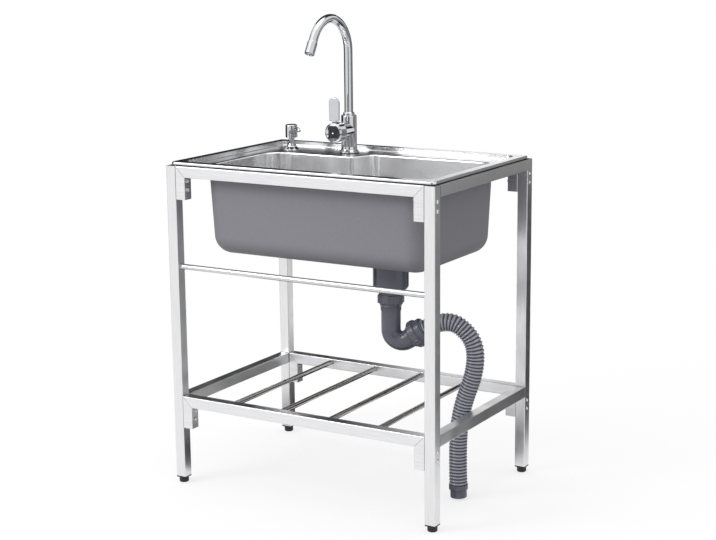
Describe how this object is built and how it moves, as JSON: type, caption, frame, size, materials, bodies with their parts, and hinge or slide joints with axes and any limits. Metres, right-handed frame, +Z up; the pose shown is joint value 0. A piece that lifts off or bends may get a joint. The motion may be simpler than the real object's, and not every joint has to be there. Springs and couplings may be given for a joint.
{
  "type": "free-standing kitchen sink unit",
  "caption": "Free-standing steel kitchen sink with a stepped bowl, on a square-tube stand with a rod rack, towel bar, swivel tap, soap pump, basket strainer and ribbed waste hose.",
  "frame": {"origin": "on the floor, midway between the four feet", "axes": "+X to the user's right, +Y to the back, +Z up; the front with the towel bar faces -Y"},
  "size_m": [0.6852, 0.47, 1.0666],
  "materials": {
    "square_tube": "satin",
    "polished_bar": "polished",
    "rack_rod": "polished",
    "sheet_steel": "brushed",
    "strainer_steel": "polished",
    "chrome": "mirror",
    "brass": "satin",
    "black_plastic": "matte",
    "grey_plastic": "gloss",
    "hose_plastic": "gloss",
    "rubber": "matte",
    "foam": "matte",
    "bottle_plastic": "satin",
    "matte_insert": "matte"
  },
  "bodies": {
    "stand": {"drain_body": "grey_plastic", "drain_gasket": "rubber", "drain_hose": "hose_plastic", "hose_end_cuff": "hose_plastic", "hose_nut": "grey_plastic", "leg_front_left": "square_tube", "leg_front_right": "square_tube", "leg_plugs": "black_plastic", "leg_rear_left": "square_tube", "leg_rear_right": "square_tube", "rack_rail_front": "square_tube", "rack_rail_left": "square_tube", "rack_rail_rear": "square_tube", "rack_rail_right": "square_tube", "rack_slat_1": "rack_rod", "rack_slat_2": "rack_rod", "rack_slat_3": "rack_rod", "rack_slat_4": "rack_rod", "rail_nuts": "strainer_steel", "rail_screws": "strainer_steel", "rim_seal": "foam", "sink_strainer": "strainer_steel", "sink_top": "sheet_steel", "soap_base": "chrome", "soap_bottle": "bottle_plastic", "soap_gasket": "rubber", "soap_nut": "black_plastic", "soap_pump": "bottle_plastic", "spout_collar": "chrome", "strainer_gasket": "rubber", "strainer_screw": "strainer_steel", "tail_gasket": "rubber", "tail_nut": "grey_plastic", "tap_base": "chrome", "tap_cartridge": "matte_insert", "tap_gasket": "rubber", "tap_nut": "brass", "tap_washer": "rubber", "top_rail_front": "square_tube", "top_rail_left": "square_tube", "top_rail_rear": "square_tube", "top_rail_right": "square_tube", "towel_bar": "polished_bar", "trap_pipe": "grey_plastic"},
    "foot_front_left": {"foot_front_left": "black_plastic"},
    "foot_front_right": {"foot_front_right": "black_plastic"},
    "foot_rear_left": {"foot_rear_left": "black_plastic"},
    "foot_rear_right": {"foot_rear_right": "black_plastic"},
    "spout": {"tap_spout": "chrome", "aerator": "chrome"},
    "hub": {"lever_hub": "chrome", "lever_pin": "strainer_steel"},
    "lever": {"mixer_lever": "chrome"},
    "pump_rod": {"soap_rod": "chrome"},
    "pump_head": {"soap_head": "chrome"},
    "basket": {"strainer_basket": "strainer_steel"}
  },
  "joints": [
    {"name": "level_front_left", "type": "slide", "parent": "stand", "child": "foot_front_left", "axis": [0, 0, 1], "range_m": [-0.01, 0]},
    {"name": "level_front_right", "type": "slide", "parent": "stand", "child": "foot_front_right", "axis": [0, 0, 1], "range_m": [-0.01, 0]},
    {"name": "level_rear_left", "type": "slide", "parent": "stand", "child": "foot_rear_left", "axis": [0, 0, 1], "range_m": [-0.01, 0]},
    {"name": "level_rear_right", "type": "slide", "parent": "stand", "child": "foot_rear_right", "axis": [0, 0, 1], "range_m": [-0.01, 0]},
    {"name": "spout_swivel", "type": "hinge", "parent": "stand", "child": "spout", "pos_m": [-0.092, 0.147, 0.829], "axis": [0, 0, 1], "continuous": true},
    {"name": "lever_turn", "type": "hinge", "parent": "stand", "child": "hub", "pos_m": [-0.092, 0.101, 0.794], "axis": [0, -1, 0], "range_deg": [-45, 45]},
    {"name": "lever_lift", "type": "hinge", "parent": "hub", "child": "lever", "pos_m": [-0.092, 0.0825, 0.8105], "axis": [1, 0, 0], "range_deg": [0, 22]},
    {"name": "pump_press", "type": "slide", "parent": "stand", "child": "pump_rod", "axis": [0, 0, -1], "range_m": [0, 0.012], "stiffness_N_per_m": 500, "springref_m": -0.006},
    {"name": "pump_head_turn", "type": "hinge", "parent": "pump_rod", "child": "pump_head", "pos_m": [-0.238, 0.123, 0.785], "axis": [0, 0, 1], "continuous": true},
    {"name": "basket_lift", "type": "slide", "parent": "stand", "child": "basket", "axis": [0, 0, 1], "range_m": [0, 0.045]}
  ]
}
